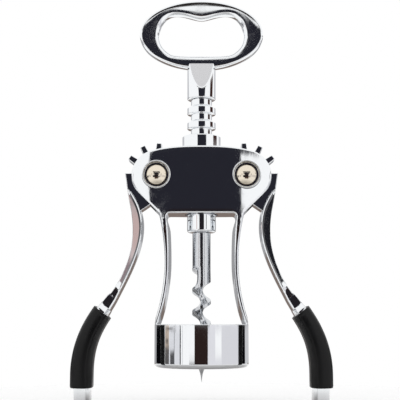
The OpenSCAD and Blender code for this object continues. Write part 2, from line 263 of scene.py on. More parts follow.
def place(name, bm, body, nodes, slot, finish, crease=30):
    """Finishes a shape as a piece: faces outwards, edges sharper than crease kept sharp, and its
    body, the nodes it stands for and its material set. The slot is not used."""
    bmesh.ops.recalc_face_normals(bm, faces=bm.faces)
    limit = math.radians(crease)
    for face in bm.faces:
        face.smooth = True
    for edge in bm.edges:
        edge.smooth = not edge.is_manifold or edge.calc_face_angle(0) < limit
    piece = as_object(name, bm)
    piece.data.materials.append(finish)
    even = piece.modifiers.new("even shading", "WEIGHTED_NORMAL")
    even.keep_sharp, even.weight = True, 100
    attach(piece, body)
    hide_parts(*nodes)
    return piece


# ---------------------------------------------------------------- finishes


def linear(hex_colour):
    """Linear red, green, blue and alpha of an sRGB hex colour."""
    parts = [int(hex_colour[i:i + 2], 16) / 255 for i in (1, 3, 5)]
    return (*(c / 12.92 if c <= 0.04045 else ((c + 0.055) / 1.055) ** 2.4 for c in parts), 1)


def set_inputs(tree, node, inputs):
    """Gives each input of a node its value, or links it to another node's output."""
    for key, value in inputs.items():
        if isinstance(value, bpy.types.NodeSocket):
            tree.links.new(value, node.inputs[key])
        else:
            node.inputs[key].default_value = value


def add(tree, kind, inputs=None, **settings):
    """Adds a node with its settings and its inputs."""
    made = tree.nodes.new(kind)
    for name, value in settings.items():
        setattr(made, name, value)
    set_inputs(tree, made, inputs or {})
    return made


def new_material(name):
    """An empty material, its Principled shader and its Object coordinates."""
    material = bpy.data.materials.get(name)
    if material:
        bpy.data.materials.remove(material)
    material = bpy.data.materials.new(name)
    material.use_nodes = True
    tree = material.node_tree
    shader = tree.nodes["Principled BSDF"]
    place_at = add(tree, "ShaderNodeTexCoord").outputs["Object"]
    return material, tree, shader, place_at


def per_metre(size_mm):
    """Texture scale at which one feature is about this many millimetres wide."""
    return 1 / (size_mm * MM)


def polished_chrome():
    """Zinc casting, polished and chrome plated: the plating mirrors its surroundings almost
    whole, faintly bluish. The polished casting under it leaves slow waves, 9 mm long, that
    bend the reflections, and the plating a fine haze in patches."""
    finish = bpy.context.scene.cork_finish
    material, tree, shader, at = new_material("chrome_plated_zinc_casting")
    waves = add(tree, "ShaderNodeTexNoise", {"Vector": at, "Scale": per_metre(9), "Detail": 1})
    # buffing lines are far finer than 0.5 mm: drawn that wide, so that they show at all
    buffing = add(tree, "ShaderNodeTexNoise", {"Vector": at, "Scale": per_metre(0.5), "Detail": 3})
    slow = add(tree, "ShaderNodeBump", {
        "Height": waves.outputs["Fac"], "Strength": 1, "Distance": finish.wave_height})
    fine = add(tree, "ShaderNodeBump", {
        "Height": buffing.outputs["Fac"], "Strength": 0.5, "Distance": 0.0006 * MM,
        "Normal": slow.outputs["Normal"]})
    haze = add(tree, "ShaderNodeTexNoise", {"Vector": at, "Scale": per_metre(4), "Detail": 4})
    rough = add(tree, "ShaderNodeMapRange", {
        "Value": haze.outputs["Fac"], "From Min": 0.35, "From Max": 0.75,
        "To Min": 0.025, "To Max": 0.075})
    set_inputs(tree, shader, {
        "Base Color": (*finish.chrome, 1), "Metallic": 1, "Roughness": rough.outputs["Result"],
        "Normal": fine.outputs["Normal"]})
    return material


def satin_chrome():
    """Chrome over a ground, unpolished facet: a soft pale grey without sharp reflections,
    with faint grinding lines 0.4 mm apart along the facet."""
    finish = bpy.context.scene.cork_finish
    material, tree, shader, at = new_material("satin_chrome_on_ground_facet")
    stretched = add(tree, "ShaderNodeMapping", {"Vector": at, "Scale": (1, 1, 0.08)})
    lines = add(tree, "ShaderNodeTexNoise", {
        "Vector": stretched.outputs["Vector"], "Scale": per_metre(0.4), "Detail": 3})
    bump = add(tree, "ShaderNodeBump", {
        "Height": lines.outputs["Fac"], "Strength": 0.6, "Distance": 0.01 * MM})
    set_inputs(tree, shader, {
        "Base Color": (*finish.satin, 1), "Metallic": 1, "Roughness": 0.34,
        "Normal": bump.outputs["Normal"]})
    return material


def recess_shade_chrome():
    """Painted shade on the recess's walls: chrome given a dark colour that stands in for the shade
    and dark reflection in the corner below the rib, with a grain of 0.3 mm."""
    material, tree, shader, at = new_material("dark_chrome_as_painted_recess_shade")
    skin = add(tree, "ShaderNodeTexNoise", {"Vector": at, "Scale": per_metre(0.3), "Detail": 2})
    bump = add(tree, "ShaderNodeBump", {
        "Height": skin.outputs["Fac"], "Strength": 0.6, "Distance": 0.01 * MM})
    set_inputs(tree, shader, {
        "Base Color": linear("#2c2a2f"), "Metallic": 1, "Roughness": 0.32,
        "Normal": bump.outputs["Normal"]})
    return material


def warm_nickel():
    """Nickel-plated steel rivet head, tumbled smooth: warmer than chrome, a little soft."""
    finish = bpy.context.scene.cork_finish
    material, tree, shader, at = new_material("tumbled_nickel_on_steel")
    dents = add(tree, "ShaderNodeTexNoise", {"Vector": at, "Scale": per_metre(1.2), "Detail": 2})
    bump = add(tree, "ShaderNodeBump", {
        "Height": dents.outputs["Fac"], "Strength": 1, "Distance": 0.006 * MM})
    cloud = add(tree, "ShaderNodeTexNoise", {"Vector": at, "Scale": per_metre(2), "Detail": 3})
    rough = add(tree, "ShaderNodeMapRange", {
        "Value": cloud.outputs["Fac"], "To Min": 0.07, "To Max": 0.16})
    set_inputs(tree, shader, {
        "Base Color": (*finish.nickel, 1), "Metallic": 1, "Roughness": rough.outputs["Result"],
        "Normal": bump.outputs["Normal"]})
    return material


def ground_steel():
    """Hardened steel wire, ground to a blade and plated: grey and bright, with grinding marks
    across the blade, drawn 0.35 mm apart."""
    finish = bpy.context.scene.cork_finish
    material, tree, shader, at = new_material("ground_plated_steel")
    stretched = add(tree, "ShaderNodeMapping", {"Vector": at, "Scale": (0.25, 0.25, 1)})
    marks = add(tree, "ShaderNodeTexNoise", {
        "Vector": stretched.outputs["Vector"], "Scale": per_metre(0.35), "Detail": 3})
    bump = add(tree, "ShaderNodeBump", {
        "Height": marks.outputs["Fac"], "Strength": 0.7, "Distance": 0.004 * MM})
    rough = add(tree, "ShaderNodeMapRange", {
        "Value": marks.outputs["Fac"], "To Min": 0.08, "To Max": 0.2})
    set_inputs(tree, shader, {
        "Base Color": (*finish.steel, 1), "Metallic": 1, "Roughness": rough.outputs["Result"],
        "Normal": bump.outputs["Normal"]})
    return material


def moulded_rubber():
    """Soft black rubber from a spark-eroded mould: matt, with a grain of 0.35 mm, and slightly
    greyer and smoother in patches where hands rub it."""
    finish = bpy.context.scene.cork_finish
    material, tree, shader, at = new_material("moulded_soft_rubber")
    grain = add(tree, "ShaderNodeTexNoise", {"Vector": at, "Scale": per_metre(0.35), "Detail": 2})
    bump = add(tree, "ShaderNodeBump", {
        "Height": grain.outputs["Fac"], "Strength": 0.6, "Distance": 0.03 * MM})
    rubbed = add(tree, "ShaderNodeTexNoise", {"Vector": at, "Scale": per_metre(7), "Detail": 3})
    rough = add(tree, "ShaderNodeMapRange", {
        "Value": rubbed.outputs["Fac"], "From Min": 0.3, "From Max": 0.7,
        "To Min": 0.27, "To Max": 0.38})
    dark = (*finish.rubber, 1)
    pale = (*(min(1, c * 1.7 + 0.002) for c in finish.rubber), 1)
    shade = add(tree, "ShaderNodeMix", {
        0: rubbed.outputs["Fac"], 6: dark, 7: pale}, data_type="RGBA")
    set_inputs(tree, shader, {
        "Base Color": shade.outputs[2], "Roughness": rough.outputs["Result"], "IOR": 1.52,
        "Specular IOR Level": 0.22, "Normal": bump.outputs["Normal"]})
    return material


# ---------------------------------------------------------------- sizes and colours


def length(name, description, size_mm, low, high):
    """A length property, its default and range given in millimetres."""
    return FloatProperty(
        name=name, description=description, default=size_mm * MM, min=low * MM, max=high * MM,
        unit="LENGTH", precision=5)


def colour(name, description, hex_colour):
    """A colour property, its default given as an sRGB hex colour."""
    return FloatVectorProperty(
        name=name, description=description, subtype="COLOR", min=0, max=1,
        default=linear(hex_colour)[:3])


class CastingSizes(bpy.types.PropertyGroup):
    rim: length("Rim", "Radius of the rounded rims of the body and legs", 0.8, 0.3, 0.85)
    bulge: length("Bulge radius", "Radius of the bulged front and rear plates", 120, 90, 300)
    bell_edge: length("Bell edge", "Radius of the bell's lower outer edge", 2, 1, 3)
    collar_edge: length("Collar edge", "Radius of the guide collar's top edge", 0.6, 0.2, 1.2)


class PivotSizes(bpy.types.PropertyGroup):
    dome: length("Head height", "Height of the pins' domed heads", 3, 2, 3)
    cup_wall: length("Cup wall", "Thickness of the cups' walls", 0.6, 0.4, 0.7)


class WormSizes(bpy.types.PropertyGroup):
    blade: length("Blade radius", "Radius of the worm's blade at its edge", 4, 3, 4)
    core: length("Core radius", "Radius of the worm's core", 1.3, 1, 1.6)
    around: IntProperty(
        name="Steps a turn", description="Steps of the blade in one turn", default=36, min=12,
        max=96)


class HandleSizes(bpy.types.PropertyGroup):
    chamfer: length("Inner bevel", "Width of the bevel round the ring's opening", 1.6, 0.6, 2.4)
    outer_edge: length("Outer edge", "Radius of the ring's rounded outer edge", 1.2, 0.5, 2)
    facet_edge: length(
        "Facet edge", "Width of the bright edge round the neck's facets", 0.4, 0.1, 0.8)


class LeverSizes(bpy.types.PropertyGroup):
    rib: length("Rib", "Width of the rib along an arm's inner side", 1.3, 1, 2.4)
    wall: length(
        "Rib wall", "Width of the slanted wall from the rib down to the panel", 0.7, 0.2, 1.2)
    panel_tilt: FloatProperty(
        name="Panel tilt", description="How far an arm's panel leans back towards its outer edge",
        default=math.radians(17), min=0, max=math.radians(25), subtype="ANGLE")
    edge: length("Hub edge", "Radius of the hub's and the teeth's edges", 0.35, 0.1, 0.6)


class GripSizes(bpy.types.PropertyGroup):
    lip: length("Lip", "How far the lip at a grip's top stands up", 0.35, 0, 0.6)
    corner: length("Corner", "Radius of a grip's outer corners", 3, 1, 4)


class FinishColours(bpy.types.PropertyGroup):
    chrome: colour("Chrome", "Colour of the polished chrome", "#eff1f3")
    satin: colour("Satin chrome", "Colour of the neck's ground facets", "#d2d2d4")
    nickel: colour("Nickel", "Colour of the pins' heads", "#e6dccb")
    steel: colour("Steel", "Colour of the worm", "#d3d5d8")
    rubber: colour("Rubber", "Colour of the grips", "#060607")
    wave_height: length("Wave height", "Height of the slow waves under the chrome", 0.014, 0, 0.06)


class StageSizes(bpy.types.PropertyGroup):
    camera_back: length("Camera distance", "How far the camera stands in front", 400, 250, 900)
    camera_aside: length("Camera offset", "How far the camera stands to the left", 0.65, -20, 20)
    camera_height: length(
        "Camera height", "Height of the camera above the bell's rim", 18.6, -10, 200)
    camera_tilt: FloatProperty(
        name="Camera tilt", description="How far the camera looks up", default=math.radians(7.53),
        min=-0.5, max=0.5, subtype="ANGLE")
    lens: FloatProperty(
        name="Lens", description="Focal length of the camera's lens", default=83.7, min=20, max=300,
        unit="CAMERA")
    floor: length("Floor radius", "Radius of the pale floor", 160, 120, 600)
    light: FloatProperty(
        name="Studio light", description="Strength of the white studio light", default=1.05,
        min=0.2, max=3)


# ---------------------------------------------------------------- the frame


def body_outline():
    """Front outline of the body and legs: an upside-down U, round about the pivots."""
    top, underside, waist, foot = 93.9, 64.9, 44.5, 15.5
    lobe = 10.8 * MM
    hip_x, hip_z = 18.47, 65.4
    outer_waist, outer_foot = 15.6, 20.3
    inner_waist, inner_foot = 13.8, 18.6
    side = (
        bend([(0, top), (7, top), (15, 93.75), (21.18, 92.14)], n=6)
        + arc(PIVOT.xz, lobe, 80, -45, 18)[1:]
        + bend([(hip_x, hip_z), (hip_x - 0.6, hip_z - 0.6), (outer_waist, 54),
                (outer_waist, waist)],
               [(outer_waist, 36), (17.1, 27), (outer_foot, 18)], n=14)
        + in_mm((outer_foot, foot), (inner_foot, foot))
        + bend([(inner_foot, 18), (15.2, 27), (inner_waist, 36), (inner_waist, waist)],
               [(inner_waist, 52.5), (14.2, 59.4), (14.8, 62.6)],
               [(15, 63.5), (14.9, underside), (13.3, underside)], n=14)
    )
    other = [Vector((-p.x, p.y)) for p in reversed(side[1:])]
    return side + other


def casting_depth(x, z, bulge):
    """Distance of the casting's front from its middle plane: the bulged plates, and legs that
    get less deep towards the bell."""
    plate_half, foot_half = 9.3 * MM, 5 * MM
    foot_z, hip_z = 14.5 * MM, 63 * MM
    gain, rise = 3.5, 49
    plate = plate_half - bulge + math.sqrt(bulge * bulge - x * x)
    leg = foot_half + (z - foot_z) * gain / rise
    return min(plate, leg) if z < hip_z else plate


def leg_draft(x, z):
    """How far the legs' inner sides lean inwards, from their fronts to the middle plane."""
    top = 64 * MM
    # the line between a leg's inner and outer side, which bends outwards at both ends
    middle_x = 14.7 * MM
    middle_x += 4.6 * MM * (1 - ease(z, 16 * MM, 36 * MM))
    middle_x += 1.6 * MM * ease(z, 46 * MM, 63 * MM)
    if x > middle_x or z > top:
        return 0
    return (1.3 - 0.4 * ease(z, 18 * MM, 34 * MM)) * MM * (1 - ease(z, 57 * MM, top))


def casting_body(sizes):
    """Body and legs. The flat front outline gets its rounded rim ring by ring, is cut into
    strips and pushed out to the bulge, then drawn back to the middle plane and mirrored."""
    rim_steps = 6
    feet_top, feet_reach = 24 * MM, 19.9 * MM
    bm = bmesh.new()
    face = bm.faces.new([bm.verts.new((x, sizes.rim, z)) for x, z in body_outline()])
    inset = 0
    for i in range(1, rim_steps + 1):
        turn = math.radians(90 * i / rim_steps)
        reach = sizes.rim * (1 - math.cos(turn))
        bmesh.ops.inset_region(
            bm, faces=[face], thickness=reach - inset, use_even_offset=True, use_boundary=True)
        inset = reach
        for v in face.verts:
            v.co.y = sizes.rim * (1 - math.sin(turn))
    planes = [((x * MM, 0, 0), ACROSS) for x in range(-30, 31)]
    planes += [((0, 0, z * MM), UP) for z in range(17, 68, 2)]
    for point, normal in planes:
        bmesh.ops.bisect_plane(bm, geom=everything(bm), plane_co=point, plane_no=normal)
    for v in bm.verts:
        v.co.y -= casting_depth(v.co.x, v.co.z, sizes.bulge)
    rim = [e for e in bm.edges if e.is_boundary]
    for v in bmesh.ops.extrude_edge_only(bm, edges=rim)["geom"]:
        if isinstance(v, bmesh.types.BMVert):
            v.co.y = 0
            v.co.x -= math.copysign(leg_draft(abs(v.co.x), v.co.z), v.co.x)
    # the feet keep inside the bell's outer face
    for v in bm.verts:
        if v.co.z < feet_top:
            reach = math.sqrt(feet_reach ** 2 - v.co.y ** 2)
            v.co.x = max(-reach, min(reach, v.co.x))
    bmesh.ops.mirror(bm, geom=everything(bm), axis="Y", merge_dist=SAME_AFTER_CUT)
    return bm


def pivot_bar(side, radius, y_front, y_back, steps=96):
    """A solid round bar along Y through a pivot."""
    return round_bar(radius, y_front, y_back, steps, BACKWARD, (side * PIVOT.x, 0, PIVOT.z))


class CORK_OT_frame(bpy.types.Operator):
    """Builds the casting: body with legs, bell and guide collar"""
    bl_idname = "cork.frame"
    bl_label = "Frame"

    def execute(self, context):
        sizes = context.scene.cork_casting
        chrome = polished_chrome()
        # radii and ends of the rack's guide, the recess under it, the hubs' slots, the cups' seats
        guide = 6.28
        below, above = 60 * MM, 110 * MM
        recess, recess_top = 7.1 * MM, 66.3 * MM
        slot, slot_half = 14.9 * MM, 4.3 * MM
        seat, before = 6.25 * MM, 12 * MM
        cutters = [round_bar(guide * MM, below, above), round_bar(recess, below, recess_top)]
        for side in (-1, 1):
            cutters.append(pivot_bar(side, slot, -slot_half, slot_half, 128))
            cutters.append(pivot_bar(side, seat, -before, -CUP_FLOOR))
            cutters.append(pivot_bar(side, seat, CUP_FLOOR, before))
        body = cut(casting_body(sizes), *cutters)
        place("casting_body", body, "frame", ["frame"], "chrome_casting", chrome, crease=35)

        outside, bore, cork_hole = 19.98, 16, 13
        tall, ledge = 18, 13
        bell = lathe(rounded([
            (bore, 0, 0.5), (outside, 0, sizes.bell_edge / MM), (outside, tall, 0.3),
            (cork_hole, tall, 0.5), (cork_hole, ledge, 0.4), (bore, ledge, 0.3)], n=6), 128)
        place("bell", bell, "frame", ["frame"], "chrome_casting", chrome)

        radius, low, top = 8.35, 88, CASTING_TOP / MM
        collar = lathe(rounded([
            (radius, low, 0), (radius, top, sizes.collar_edge / MM), (guide, top, 0.4),
            (guide, low, 0)]))
        place("guide_collar", collar, "frame", ["frame"], "chrome_casting", chrome)
        return {"FINISHED"}


# ---------------------------------------------------------------- pivots


class CORK_OT_pivots(bpy.types.Operator):
    """Builds the pivot pins with their domed heads, the cups round them and the rear caps"""
    bl_idname = "cork.pivots"
    bl_label = "Pivots"

    def execute(self, context):
        sizes = context.scene.cork_pivots
        nickel = warm_nickel()
        chrome = bpy.data.materials["chrome_plated_zinc_casting"]
        # radii, and heights in millimetres that run forwards from the middle plane
        stem_r, head_r, cup_r = 2.5, 4.6, 6.1
        floor = CUP_FLOOR / MM
        cup_top, head = floor + 2.4, floor + 0.6
        stem_end, socket = -head - 1.4, head + 1.35
        inside = cup_r - sizes.cup_wall / MM
        tall = sizes.dome / MM
        cap_tall = tall - 0.9
        ball = (head_r ** 2 + cap_tall ** 2) / (2 * cap_tall)
        edge = math.degrees(math.asin(head_r / ball))
        dome = in_mm((head_r, head), (head_r, head + 0.85))
        dome += arc(Vector((0, head + tall - ball)) * MM, ball * MM, 90 - edge, 90, 14)
        stem = in_mm((0, stem_end), (stem_r, stem_end), (stem_r, head))
        hollow = in_mm((stem_r, socket), (stem_r, head))
        cup_profile = rounded([
            (stem_r, floor, 0), (cup_r, floor, 0.3), (cup_r, cup_top, 0.28),
            (inside, cup_top, 0.28), (inside, head, 0.4), (stem_r, head, 0)])
        for side, word in ((-1, "left"), (1, "right")):
            centre = (side * PIVOT.x, 0, PIVOT.z)
            pin = lathe(stem + dome, 64, closed=False, axis=-BACKWARD, centre=centre)
            place(word + "_rivet", pin, "frame", [word + "_pivot_pin"], "nickel_rivet", nickel)
            cap = lathe(hollow + dome + in_mm((0, socket)), 64, closed=False, axis=BACKWARD,
                        centre=centre)
            place(word + "_rivet_cap", cap, "frame", [word + "_rear_cap"], "nickel_rivet", nickel)
            for face, name in ((-1, "front"), (1, "rear")):
                cup = lathe(cup_profile, 72, axis=BACKWARD * face, centre=centre)
                place(f"{word}_{name}_bezel", cup, "frame", [f"{word}_{name}_cup"],
                      "cup_chrome", chrome)
        return {"FINISHED"}


# ---------------------------------------------------------------- rack and worm

RACK_PITCH = 6.55
GROOVES = 7


class CORK_OT_rack(bpy.types.Operator):
    """Builds the rack sleeve with its grooves and barrel"""
    bl_idname = "cork.rack"
    bl_label = "Rack sleeve"

    def execute(self, context):
        low, top = SLEEVE_LOW / MM, SLEEVE_TOP / MM
        bore, outside, bottom = 3.06, 6.2, 4.6
        half, bottom_half = 1.9, 1.0
        first = top - half - (GROOVES - 1) * RACK_PITCH
        corners = [(bore, low, 0.2), (outside, low, 1.1)]
        for i in range(GROOVES):
            z = first + i * RACK_PITCH
            corners += [(outside, z - half, 0.3), (bottom, z - bottom_half, 0.5)]
            # the last groove runs out at the sleeve's top
            if i < GROOVES - 1:
                corners += [(bottom, z + half, 0.35), (outside, z + half, 0.3)]
        corners += [(bottom, top, 0.1), (bore, top, 0.1)]
        place("rack", lathe(rounded(corners), 96), "rack", ["rack_sleeve"], "chrome_casting",
              bpy.data.materials["chrome_plated_zinc_casting"])
        return {"FINISHED"}


# Height at which the blade points to the left, and how far it climbs in a turn
BLADE_LEFT, WORM_PITCH = 22.9, 9.35
# The point: heights, and the share of its full radius that the worm has there
POINT = ((WORM_TIP / MM, 0.04), (-4.5, 0.19), (-2.7, 0.42), (-0.9, 0.9), (0.6, 1))


def worm_radius(turned, height, sizes):
    """Distance from the axis of the worm's surface, at an angle in degrees from the blade's
    edge. Opposite the blade the core lies close to the axis. The groove beside the blade runs
    out at the shank, and blade and core taper to the point."""
    blade, core = sizes.blade / MM, sizes.core / MM
    edge_half, hollow, sink = 25, 2.8, 0.27
    off = min(turned, 360 - turned)
    share = 1
    if off > edge_half:
        share = (1 + sink) * ((180 - off) / (180 - edge_half)) ** hollow - sink
    share *= ease(height, -1.5, 7)
    groove = core + (blade - core) * share
    # the shank is a little thinner than the blade, and the groove ends after two turns more
    full = blade - 0.1 * ease(height, 36, 42)
    along_helix = 360 * (height - BLADE_LEFT) / WORM_PITCH + turned
    radius = groove + (full - groove) * ease(along_helix, 720, 800)
    for (low, narrow), (high, wide) in zip(POINT, POINT[1:]):
        if height < high:
            return radius * (narrow + (wide - narrow) * (height - low) / (high - low))
    return radius


class CORK_OT_worm(bpy.types.Operator):
    """Builds the shaft, shank and worm: one bar, twisted, with a helical groove ground in it"""
    bl_idname = "cork.worm"
    bl_label = "Worm"

    def execute(self, context):
        sizes = context.scene.cork_worm
        tip, point_top, screw_top = WORM_TIP / MM, 1.2, 44
        point_steps = 14
        shank_top, shank, shaft = SLEEVE_LOW / MM - 0.1, 3.9, 3
        angles = [0, 8, 16, 25, 32, 40] + list(range(50, 181, 10))
        angles += [360 - a for a in reversed(angles[1:-1])]
        step = WORM_PITCH / sizes.around
        heights = [tip + (point_top - tip) * i / point_steps for i in range(point_steps)]
        heights += [point_top + step * i for i in range(math.ceil((screw_top - point_top) / step))]
        rings = []
        for height in heights:
            blade_at = math.pi + TURN * (height - BLADE_LEFT) / WORM_PITCH
            ring = []
            for turned in angles:
                angle = blade_at + math.radians(turned)
                radius = worm_radius(turned, height, sizes)
                ring.append((radius * math.cos(angle), radius * math.sin(angle), height))
            rings.append(in_mm(*ring))
        ends = ((shank, shank_top - 0.4), (shank - 0.12, shank_top - 0.1), (shank - 0.5, shank_top),
                (shaft, shank_top), (shaft, SHAFT_TOP / MM))
        for radius, height in ends:
            rings.append([Vector((p.x, p.y, 0)).normalized() * radius * MM + UP * height * MM
                          for p in rings[-1]])
        place("worm_screw", loft(rings), "spindle", ["worm"], "worm_steel", ground_steel(),
              crease=34)
        return {"FINISHED"}


# ---------------------------------------------------------------- handle


def ring_opening():
    """Bean-shaped opening of the ring about its middle: a flat bottom, and two lobes with a
    cusp between them at the top."""
    low, side, cusp = -9.85, 18.7, 2.1
    top = low + 18.9
    half = bend(
        [(0, low), (side * 0.4, low), (side * 0.6, low), (side * 0.72, low + 0.9)],
        [(side * 0.92, low + 3), (side, low + 6), (side, low + 9)],
        [(side, top - 4.4), (side * 0.84, top), (side * 0.58, top)],
        [(side * 0.36, top), (side * 0.16, top - cusp), (0, top - cusp)], n=14)
    return half + [Vector((-p.x, p.y)) for p in reversed(half[1:-1])]


def ring_section(width, deep, bevel, edge):
    """Front half of the ring's section: a wide bevel round the opening, rounded outside."""
    turns = [math.radians(angle) for angle in range(0, 91, 18)]
    return [
        (0, 0), (0, deep * 0.5), (0.12 * MM, deep * 0.62), (bevel * 0.45, deep * 0.84),
        (bevel * 0.9, deep * 0.985), (bevel * 1.15, deep), (width * 0.6, deep),
        *((width - edge + edge * math.sin(a), deep - edge + edge * math.cos(a)) for a in turns),
    ]


class CORK_OT_handle(bpy.types.Operator):
    """Builds the opener ring, its neck with two ground facets, and the cross pin"""
    bl_idname = "cork.handle"
    bl_label = "Handle"

    def execute(self, context):
        sizes = context.scene.cork_handle
        chrome = bpy.data.materials["chrome_plated_zinc_casting"]
        self.make_ring(sizes, chrome)
        self.make_neck(sizes, chrome)
        self.make_cross_pin()
        return {"FINISHED"}

    def make_ring(self, sizes, chrome):
        """The opener ring: sections laid between its opening and its oval outside."""
        wide, tall, deep = 27.3 * MM, 15.6 * MM, 2.8 * MM
        middle_z = RING_TOP - tall
        rings = []
        for inner in ring_opening():
            angle = math.atan2(inner.y / tall, inner.x / wide)
            outer = Vector((wide * math.cos(angle), tall * math.sin(angle)))
            width = (outer - inner).length
            way = (outer - inner).normalized()
            front = ring_section(width, deep, sizes.chamfer, sizes.outer_edge)
            back = [(u, -y) for u, y in reversed(front[1:-1])]
            ring = []
            for u, y in front + [(width, 0)] + back:
                p = inner + way * u
                ring.append(Vector((p.x, -y, p.y + middle_z)))
            rings.append(ring)
        place("opener_ring", loft(rings, looped=True), "spindle", ["handle"], "chrome_casting",
              chrome)

    def make_neck(self, sizes, chrome):
        """The round neck, with a facet ground off its front and its back."""
        radius, low = 6.2, SLEEVE_TOP / MM + 0.1
        ring_low = low + 13.7
        top = ring_low + 5.2
        neck = lathe(rounded([(0, low, 0), (radius, low, 0.5), (radius, top, 0)]), 96,
                     closed=False)
        bmesh.ops.remove_doubles(neck, verts=neck.verts, dist=SAME)
        # a facet runs from the neck's skin up to 2.5 mm from its middle
        foot, head = in_mm((0, radius, low + 4.1), (0, 2.5, ring_low + 3.2))
        lean = head - foot
        for face in (1, -1):
            normal = Vector((0, lean.z, -lean.y)).normalized()
            normal.y *= face
            bmesh.ops.bisect_plane(
                neck, geom=everything(neck), plane_co=(0, foot.y * face, foot.z),
                plane_no=normal, clear_outer=True)
            bmesh.ops.holes_fill(neck, edges=neck.edges, sides=0)
        satin = satin_chrome()
        # only a facet is large and looks forwards or backwards: its area in square metres with
        # a sharp edge, then with the bevelled one
        upright, facet_area, facet_area_left = 0.8, 3e-5, 2.5e-5
        facets = [f for f in neck.faces
                  if abs(f.normal.y) > upright and f.calc_area() > facet_area]
        bmesh.ops.bevel(
            neck, geom=list({e for f in facets for e in f.edges}), offset=sizes.facet_edge,
            offset_type="OFFSET", affect="EDGES", segments=3, profile=0.5, material=-1)
        piece = place("neck", neck, "spindle", ["handle"], "chrome_casting", chrome)
        piece.data.materials.append(satin)
        for polygon in piece.data.polygons:
            if polygon.area > facet_area_left and abs(polygon.normal.y) > upright:
                polygon.material_index = 1

    def make_cross_pin(self):
        """The pin across the neck, which holds it on the worm's shaft."""
        radius, half = 1.2, 5.95
        pin = lathe(rounded([(0, -half, 0), (radius, -half, 0.25), (radius, half, 0.25),
                             (0, half, 0)]), 32, closed=False)
        bmesh.ops.rotate(
            pin, cent=(0, 0, 0), matrix=Matrix.Rotation(TURN / 4, 3, "Y"), verts=pin.verts)
        bmesh.ops.translate(pin, verts=pin.verts, vec=(0, 0, PIN_AT))
        place("cross_pin", pin, "spindle", ["handle_pin"], "pin_steel",
              bpy.data.materials["ground_plated_steel"])


# ---------------------------------------------------------------- levers

# Where the arm meets its end block, inner and outer, from the pivot
BLOCK_IN, BLOCK_OUT = (16.8, -54), (19.5, -50.2)
# Half the depth of the core inside the grip
CORE_HALF = 5.4


def lever_edges():
    """Inner and outer edge of a lever, from the root down: arm, then core, to the tip."""
    core_low = TIP_LOW / MM + 14
    (x_in, z_in), (x_out, z_out) = BLOCK_IN, BLOCK_OUT
    drop_in, drop_out = z_in - core_low, z_out - core_low
    arm_in = bend([(12.4, -5), (9, -8.3), (5.5, -14.5), (5.5, -22)],
                  [(5.5, -33), (11.8, -44), BLOCK_IN], n=16)
    arm_out = bend([(12.7, -5.7), (12.2, -11), (10.2, -16), (10.2, -23.7)],
                   [(10.2, -33), (13.6, -42), BLOCK_OUT], n=16)
    core_in = bend([BLOCK_IN, (x_in + 4.8, z_in - 0.3 * drop_in),
                    (x_in + 11, z_in - 0.47 * drop_in), (27.8, core_low)], n=40)
    core_out = bend([BLOCK_OUT, (x_out + 7.2, z_out - 0.23 * drop_out),
                     (x_out + 14.7, z_out - 0.55 * drop_out), (34.4, core_low)], n=40)
    return arm_in, arm_out, core_in, core_out


def lever_point(flat, y):
    """A lever's flat point, drawn from its pivot outwards and up, put in place on the right."""
    return Vector((PIVOT.x + flat.x, y, PIVOT.z + flat.y))


def drawn_in(inner, outer, distance):
    """Two opposite points of the edges, each moved towards the other."""
    way = (outer - inner).normalized() * distance
    return inner + way, outer - way


def section_ring(inner, outer, half):
    """One ring of a lever or grip: half is its front half's section, as distances from the
    inner edge and from the middle plane."""
    way = (outer - inner).normalized()
    back = [(u, -y) for u, y in reversed(half[1:-1])]
    return [lever_point(inner + way * u, -y) for u, y in half + back]


def panel_depth(inner, outer, reach, tilt):
    """How deep an arm's panel stands at a reach from the inner edge. It leans back outwards
    only, so that the whole panel mirrors one direction of the studio."""
    point = inner + (outer - inner).normalized() * reach
    return 3.5 * MM - math.tan(tilt) * (point.x - 8 * MM)


def arm_section(inner, outer, sizes, side_low, block=0):
    """Front half of an arm's section: the leaning inner side, a round rib, a slanted wall and
    the recessed panel that leans back to a rounded outer edge. Where block is given, the end
    block's front stands at that depth."""
    width = (outer - inner).length
    rib = min(sizes.rib, width * 0.42)
    wall = min(sizes.wall, width * 0.2)
    tilt = sizes.panel_tilt
    panel = block or min(4.9 * MM, panel_depth(inner, outer, rib + wall, tilt))
    rim = max(block or panel_depth(inner, outer, width - 0.3 * MM, tilt), 0.9 * MM)
    top = 5.45 * MM
    lean = 0.5 * MM
    edge = min(0.35 * MM, (width - rib - wall) * 0.3)
    flat = max(rib + wall + 0.02 * MM, width - edge)
    crown = rib - lean
    if block:
        wall = 0.05 * MM
    return [
        (0, 0), (lean * 0.1, side_low * 0.4), (lean, top - crown * 0.5),
        (lean + crown * 0.07, top - crown * 0.3), (lean + crown * 0.22, top - crown * 0.1),
        (lean + crown * 0.5, top), (lean + crown * 0.78, top - crown * 0.1),
        (lean + crown * 0.93, top - crown * 0.3), (rib, top - crown * 0.5),
        (rib + wall * 0.5, (panel + top - crown * 0.5) / 2), (rib + wall, panel),
        (rib + wall + (flat - rib - wall) * 0.5, (panel + rim) / 2), (flat, rim),
        (flat + edge * 0.5, rim - edge * 0.14), (flat + edge * 0.86, rim - edge * 0.5),
        (flat + edge, rim - edge * 0.95), (flat + edge, 0),
    ]


